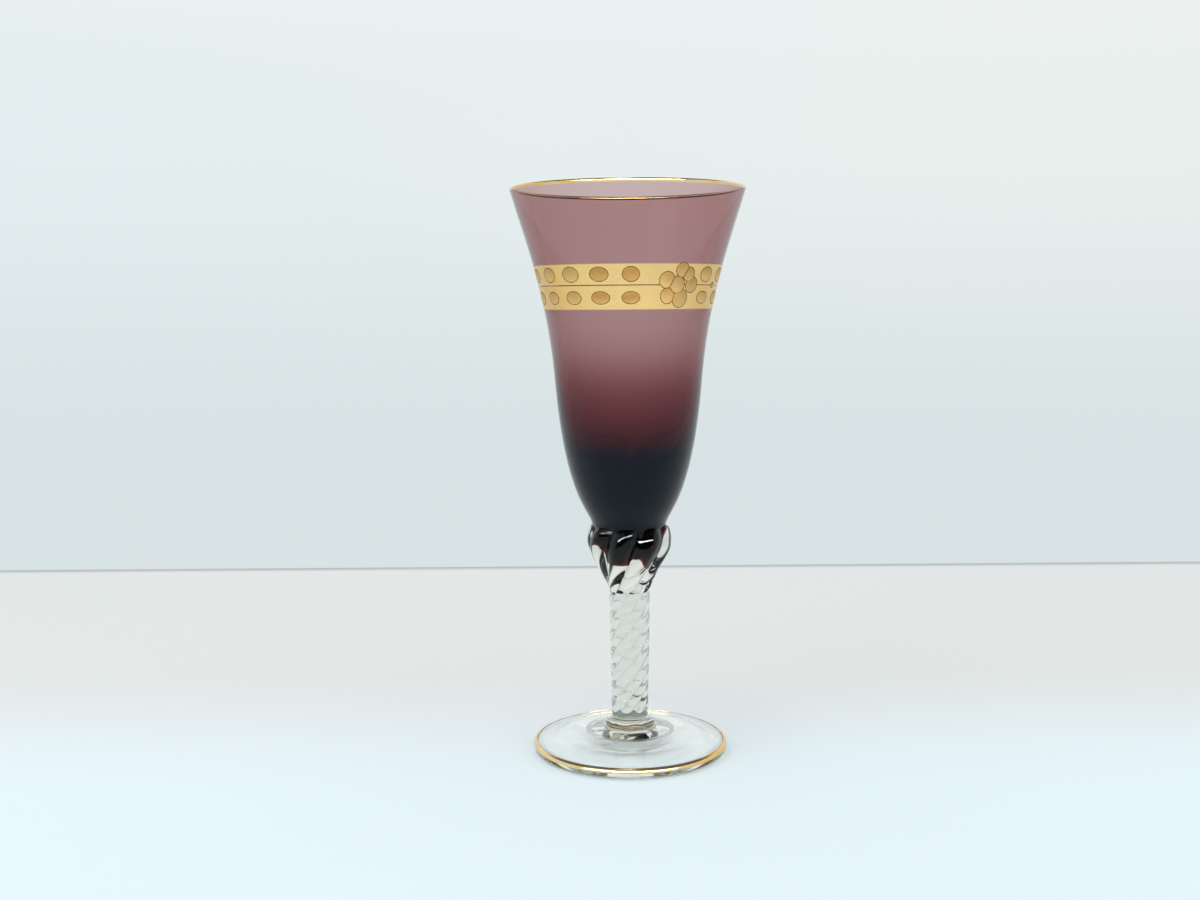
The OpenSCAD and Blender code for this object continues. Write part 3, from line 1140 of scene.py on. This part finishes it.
def surroundings():
    """The room: an even light, a pale wall past the glass, and a darker room that only reflections show."""
    world = bpy.data.worlds.new("pale_room")
    bpy.context.scene.world = world
    world.use_nodes = True
    tree = world.node_tree
    tree.nodes.clear()
    x, y, z = parts_of(tree, add_node(tree, "ShaderNodeTexCoord").outputs["Generated"])
    path = add_node(tree, "ShaderNodeLightPath").outputs
    glossy = Value(tree, path["Is Glossy Ray"])
    through = Value(tree, path["Is Transmission Ray"])
    mirrored = (glossy - through).clamped()
    # What lies past the glass
    ahead = mixed(tree, ranged(tree, x, -0.4, 0.4), WALL_LEFT, WALL_RIGHT)
    wall = mixed(tree, ranged(tree, z, -0.12, 0.13), WALL_LOW, ahead)
    high = mixed(tree, ranged(tree, z, 0.13, 0.4), wall, WALL_HIGH)
    # The room as glass shows it after a reflection, and as a polished surface mirrors it
    behind = mixed(tree, mirrored, BEHIND_IN_GLASS, BEHIND_MIRRORED)
    beside = mixed(tree, mirrored, BESIDE_IN_GLASS, high)
    above = mixed(tree, mirrored, ABOVE_IN_GLASS, ABOVE_MIRRORED)
    sides = mixed(tree, ranged(tree, x * x, 0.36, 0.7), high, beside)
    room = mixed(tree, ranged(tree, y, -0.6, -0.3), behind, sides)
    whole_room = mixed(tree, ranged(tree, z, 0.5, 0.65), room, above)
    reflected = Value(tree, path["Glossy Depth"]).clamped()
    shown = mixed(tree, reflected, high, whole_room)
    # Rays turned only by glass or polish see the room, the camera sees the wall, and the rest an even light
    turned = (glossy + through - Value(tree, path["Diffuse Depth"]) * 2).clamped()
    plain = mixed(tree, path["Is Camera Ray"], EVEN_LIGHT, high)
    sockets = {"Color": mixed(tree, turned, plain, shown), "Strength": 1.0}
    shader = add_node(tree, "ShaderNodeBackground", {}, sockets)
    add_node(tree, "ShaderNodeOutputWorld", {}, {"Surface": shader.outputs[0]})


def lamp(name, size, power, where, only_reflected=False):
    """An area lamp that looks at the glass. One that is only reflected lights nothing else."""
    data = bpy.data.lights.new(name, "AREA")
    data.shape = "RECTANGLE"
    data.size, data.size_y = size
    data.energy = power
    light = new_object(name, data)
    aim = Vector(LAMPS_LOOK_AT) - Vector(where)
    light.matrix_world = Matrix.Translation(where) @ aim.to_track_quat("-Z", "Y").to_matrix().to_4x4()
    light.visible_diffuse = not only_reflected
    light.visible_transmission = not only_reflected


def camera():
    """The camera at the photograph's place and angle."""
    data = bpy.data.cameras.new("camera")
    data.sensor_width = SENSOR_WIDTH_MM
    data.lens = LENS_MM
    data.clip_start = 10 * MM
    seen_by = new_object("camera", data)
    tilt = Matrix.Rotation(math.pi / 2 - PITCH_DOWN, 4, "X") @ Matrix.Rotation(ROLL, 4, "Z")
    seen_by.matrix_world = Matrix.Translation(CAMERA_PLACE) @ tilt
    bpy.context.scene.camera = seen_by


# Operators: one for each piece, and one for the stage

# The collar's seat on the foot, as a share of the collar's radius
COLLAR_SEAT_SHARE = 0.99
# Depth of the dents in the soft collar, and the height left even at both ends
DENT_DEPTH = 0.45 * MM
DENT_MARGIN = 0.2 * MM


class GLASS_OT_bowl(bpy.types.Operator):
    """Blows the bowl: a flared shell with a heavy bottom and a tip inside the knop"""

    bl_idname = "stemmed_glass.bowl"
    bl_label = "Bowl"
    bl_options = {"REGISTER", "UNDO"}

    def execute(self, context):
        outside = bowl_outside()
        wall = sizes().wall
        seat = seat_height()
        strips = band_strips()
        lip_low = bottom_of("lip_gilding")
        steps = [seat, *strips[0], *strips[1], lip_low, lip_round_height()]
        outline = join(
            bowl_tip(),
            *(stretch(outside, low, high) for low, high in zip(steps, steps[1:])),
            arc(lip_middle(outside), wall / 2, 0, 180, 12),
            reversed(cavity(outside)),
        )
        bm = bmesh.new()
        spin(bm, outline)
        knop = bmesh.new()
        twisted_body(knop, knop_outline(), knop_depth, stem_turn())
        grip = BVHTree.FromBMesh(knop)
        knop.free()

        def melted(face):
            """Whether a face lies in the knop or under the gilding."""
            middle = face.calc_center_median()
            if middle.z <= seat:
                return inside(grip, middle)
            outer = from_axis(middle).length > radius_at(outside, middle.z) - wall / 2
            gilt = middle.z > lip_low or any(low < middle.z < high for low, high in strips)
            return outer and gilt

        place(bm, "bowl_glass", "bowl", amethyst(), melted, 60)
        return {"FINISHED"}


class GLASS_OT_knop(bpy.types.Operator):
    """Makes the twisted knop that grips the bowl's tip"""

    bl_idname = "stemmed_glass.knop"
    bl_label = "Knop"
    bl_options = {"REGISTER", "UNDO"}

    def execute(self, context):
        bm = bmesh.new()
        twisted_body(bm, knop_outline(), knop_depth, stem_turn())
        low = bottom_of("knop")
        leave_bubbles(bm, low)
        above_seat = seat_height() + 5 * MM
        held = bmesh.new()
        spin(held, join(bowl_tip(), stretch(bowl_outside(), seat_height(), above_seat)))
        tip = BVHTree.FromBMesh(held)
        held.free()

        def melted(face):
            """Whether a face lies on the stem or in the bowl's tip."""
            middle = face.calc_center_median()
            if middle.z < low + TOUCH:
                return True
            return middle.z >= bottom_of("bowl") and inside(tip, middle)

        place(bm, "knop_glass", "knop", clear(), melted)
        return {"FINISHED"}


class GLASS_OT_stem(bpy.types.Operator):
    """Draws the twisted stem"""

    bl_idname = "stemmed_glass.stem"
    bl_label = "Stem"
    bl_options = {"REGISTER", "UNDO"}

    def execute(self, context):
        bm = bmesh.new()
        outline = stem_outline()
        outline[-1].y -= FUSED_GAP
        twisted_body(bm, outline, stem_depth, sizes().twist_start)

        def melted(face):
            """Whether a face is one of the two ends, which have many corners."""
            return len(face.verts) > 4

        place(bm, "stem_glass", "stem", clear(), melted)
        return {"FINISHED"}


class GLASS_OT_collar(bpy.types.Operator):
    """Presses the soft collar onto the foot"""

    bl_idname = "stemmed_glass.collar"
    bl_label = "Collar"
    bl_options = {"REGISTER", "UNDO"}

    def execute(self, context):
        s = sizes()
        low = top_of("foot") + FUSED_GAP
        top = top_of("foot_collar") - FUSED_GAP
        neck = s.stem_low_radius
        step = Vector((s.collar_radius * 0.66, low + s.collar_step))
        bead = Vector((s.bead_radius, low + s.bead_height))
        outline = join(
            [Vector((0, low))],
            curve(
                (s.collar_radius * COLLAR_SEAT_SHARE, low),
                (s.collar_radius * 0.92, low + s.collar_step * 0.1),
                (s.collar_radius * 0.84, low + s.collar_step * 0.6),
                step,
                20,
            ),
            curve(step, (bead.x * 1.02, step.y), (bead.x * 1.02, (step.y + bead.y) / 2), bead, 14),
            curve(
                bead,
                (bead.x * 0.98, bead.y + (top - bead.y) * 0.62),
                (neck * 1.18, top - (top - bead.y) * 0.1),
                (neck, top),
                20,
            ),
            [Vector((0, top))],
        )
        bm = bmesh.new()
        spin(bm, outline)
        for vert in bm.verts:
            if low + DENT_MARGIN < vert.co.z < top - DENT_MARGIN:
                dent = noise.noise(vert.co * 190) + 0.5 * noise.noise(vert.co * 420)
                vert.co -= vert.co.normalized() * (0.5 + dent * 0.5) * DENT_DEPTH

        def melted(face):
            """Whether a face lies on the foot or under the stem."""
            z = face.calc_center_median().z
            return abs(face.normal.z) > 0.999 and (z < low + TOUCH or z > top - TOUCH)

        place(bm, "collar_glass", "foot_collar", pressed(), melted)
        return {"FINISHED"}


class GLASS_OT_foot(bpy.types.Operator):
    """Spins out the foot, hollow underneath"""

    bl_idname = "stemmed_glass.foot"
    bl_label = "Foot"
    bl_options = {"REGISTER", "UNDO"}

    def execute(self, context):
        s = sizes()
        top = top_of("foot")
        outline = join(
            curve(
                (0, s.hollow),
                (s.stand_radius * 0.7, s.hollow),
                (s.stand_radius * 0.78, s.hollow * 0.1),
                (s.stand_radius - s.stand_width, 0),
                40,
            ),
            curve(
                (s.stand_radius, 0),
                (s.foot_radius - s.stand_width * 0.2, s.foot_widest * 0.1),
                (s.foot_radius, s.foot_widest * 0.45),
                (s.foot_radius, s.foot_widest),
                12,
            ),
            foot_shoulder(),
            foot_slope(),
            [Vector((0, top))],
        )
        bm = bmesh.new()
        spin(bm, outline)
        seat_radius = s.collar_radius * COLLAR_SEAT_SHARE
        gilt_radius = s.foot_radius - gilding().foot_ring_width

        def melted(face):
            """Whether a face lies under the collar or under the gilding."""
            middle = face.calc_center_median()
            radius = from_axis(middle).length
            under_collar = middle.z > top - TOUCH and radius < seat_radius
            return under_collar or (radius > gilt_radius and middle.z > s.foot_widest)

        place(bm, "foot_glass", "foot", pressed(), melted)
        return {"FINISHED"}


def gilded_line(bm, line):
    """A thin closed layer of gold along an outline, seated just off the glass."""
    g = gilding()
    inner = []
    outer = []
    for i, point in enumerate(line):
        a = line[max(i - 1, 0)]
        b = line[min(i + 1, len(line) - 1)]
        along = (b - a).normalized()
        out = Vector((along.y, -along.x))
        inner.append(point + out * g.seat_gap)
        outer.append(point + out * (g.seat_gap + g.leaf))
    spin(bm, inner + list(reversed(outer)), closed=True)


class GLASS_OT_lip_gilding(bpy.types.Operator):
    """Gilds the lip"""

    bl_idname = "stemmed_glass.lip_gilding"
    bl_label = "Lip gilding"
    bl_options = {"REGISTER", "UNDO"}

    def execute(self, context):
        outside = bowl_outside()
        wall = sizes().wall
        z = lip_round_height()
        low = bottom_of("lip_gilding")
        line = join(
            stretch(outside, low, z),
            arc(lip_middle(outside), wall / 2, 0, 180, 16),
            reversed(stretch(outside, (low + lip_height()) / 2, z, -wall)),
        )
        bm = bmesh.new()
        gilded_line(bm, line)
        place(bm, "lip_gold", "lip_gilding", [edge_gold()])
        return {"FINISHED"}


class GLASS_OT_band(bpy.types.Operator):
    """Lays the gold band on the bowl in two strips"""

    bl_idname = "stemmed_glass.band"
    bl_label = "Gold band"
    bl_options = {"REGISTER", "UNDO"}

    def execute(self, context):
        outside = bowl_outside()
        bm = bmesh.new()
        for low, high in band_strips():
            gilded_line(bm, stretch(outside, low, high))
        gold = [band_gold(), gold_reverse()]
        place(bm, "band_gold", "band_gilding", gold, faces_glass)
        return {"FINISHED"}


class GLASS_OT_ovals(bpy.types.Operator):
    """Draws the two rows of matte ovals"""

    bl_idname = "stemmed_glass.ovals"
    bl_label = "Ovals"
    bl_options = {"REGISTER", "UNDO"}

    def execute(self, context):
        g = gilding()
        outside = bowl_outside()
        middle = band_middle()
        rows = (
            (middle + (top_of("band_gilding") - middle) * UPPER_ROW_SHARE, g.upper_oval, 0),
            (middle - (middle - bottom_of("band_gilding")) * LOWER_ROW_SHARE, g.lower_oval, 1),
        )
        step = (math.tau - GAP_AFTER_FLOWER - GAP_BEFORE_FLOWER) / (g.oval_count - 1)
        bm = bmesh.new()
        for z, height, row in rows:
            for i in range(g.oval_count):
                oval = pad(
                    g.oval_width * OVAL_WIDTH_SHARES[(i + row * 3) % len(OVAL_WIDTH_SHARES)],
                    height * OVAL_HEIGHT_SHARES[(i + row * 2) % len(OVAL_HEIGHT_SHARES)],
                    OVAL_TONE_SHARES[i % len(OVAL_TONE_SHARES)],
                )
                lay_on_bowl(bm, oval, outside, FLOWER_ANGLE + GAP_AFTER_FLOWER + i * step, z)
        place_pads(bm, "band_oval_pads", "band_ovals")
        return {"FINISHED"}


class GLASS_OT_flower(bpy.types.Operator):
    """Draws the flower of discs and its bud"""

    bl_idname = "stemmed_glass.flower"
    bl_label = "Flower"
    bl_options = {"REGISTER", "UNDO"}

    def execute(self, context):
        g = gilding()
        outside = bowl_outside()
        middle = band_middle()
        discs = [(Vector((x, y, 0)) * g.disc, g.disc * size / 2) for x, y, size in FLOWER_SHARES]
        bm = bmesh.new()
        for centre, radius in discs:
            lines = []
            for other, other_radius in discs:
                apart = other - centre
                if 0 < apart.length < radius + other_radius + DISC_REACH:
                    reach = (apart.length_squared + radius**2 - other_radius**2) / (2 * apart.length)
                    lines.append((apart.normalized() * reach, apart.normalized()))
            disc = pad(radius * 2, radius * 2, FLOWER_TONE_SHARE, lines)
            bmesh.ops.translate(disc, verts=disc.verts, vec=centre)
            lay_on_bowl(bm, disc, outside, FLOWER_ANGLE, middle)
        bud = pad(g.bud, g.bud * BUD_HEIGHT_SHARE, BUD_TONE_SHARE)
        lay_on_bowl(bm, bud, outside, FLOWER_ANGLE + BUD_ANGLE, middle)
        place_pads(bm, "band_flower_discs", "band_flower")
        return {"FINISHED"}


class GLASS_OT_foot_gilding(bpy.types.Operator):
    """Gilds the rounded edge of the foot"""

    bl_idname = "stemmed_glass.foot_gilding"
    bl_label = "Foot gilding"
    bl_options = {"REGISTER", "UNDO"}

    def execute(self, context):
        inner = sizes().foot_radius - gilding().foot_ring_width
        line = [p for p in join(foot_shoulder(), foot_slope()) if p.x > inner]
        bm = bmesh.new()
        gilded_line(bm, line)
        place(bm, "foot_gold", "foot_gilding", [edge_gold()])
        return {"FINISHED"}


class GLASS_OT_stage(bpy.types.Operator):
    """Sets the pale table, the soft light and the camera"""

    bl_idname = "stemmed_glass.stage"
    bl_label = "Stage"
    bl_options = {"REGISTER", "UNDO"}

    def execute(self, context):
        scene = bpy.context.scene
        scene.view_settings.view_transform = "Standard"
        for kind, most in LIGHT_BOUNCES.items():
            setattr(scene.cycles, kind, most)
        table()
        surroundings()
        for lamp_facts in LAMPS:
            lamp(*lamp_facts)
        camera()
        return {"FINISHED"}


class GLASS_PT_panel(bpy.types.Panel):
    """Lists the pieces of the glass"""

    bl_idname = "GLASS_PT_panel"
    bl_label = "Stemmed Glass"
    bl_space_type = "VIEW_3D"
    bl_region_type = "UI"
    bl_category = "Stemmed Glass"

    def draw(self, context):
        for operator in OPERATORS:
            self.layout.operator(operator.bl_idname)


OPERATORS = (
    GLASS_OT_stage,
    GLASS_OT_bowl,
    GLASS_OT_lip_gilding,
    GLASS_OT_band,
    GLASS_OT_ovals,
    GLASS_OT_flower,
    GLASS_OT_knop,
    GLASS_OT_stem,
    GLASS_OT_collar,
    GLASS_OT_foot,
    GLASS_OT_foot_gilding,
)
PROPERTY_GROUPS = {"glass_sizes": GlassSizes, "glass_gilding": GildingSizes, "glass_colours": GlassColours}


def register():
    """Registers the properties, the operators and the panel."""
    for name, group in PROPERTY_GROUPS.items():
        bpy.utils.register_class(group)
        setattr(bpy.types.Scene, name, PointerProperty(type=group))
    for cls in (*OPERATORS, GLASS_PT_panel):
        bpy.utils.register_class(cls)


def unregister():
    """Takes them all away again."""
    for cls in (GLASS_PT_panel, *reversed(OPERATORS)):
        bpy.utils.unregister_class(cls)
    for name, group in PROPERTY_GROUPS.items():
        delattr(bpy.types.Scene, name)
        bpy.utils.unregister_class(group)


def main():
    """Builds every piece and the stage."""
    register()
    for operator in OPERATORS:
        group, name = operator.bl_idname.split(".")
        getattr(getattr(bpy.ops, group), name)()


if __name__ == "__main__":
    main()
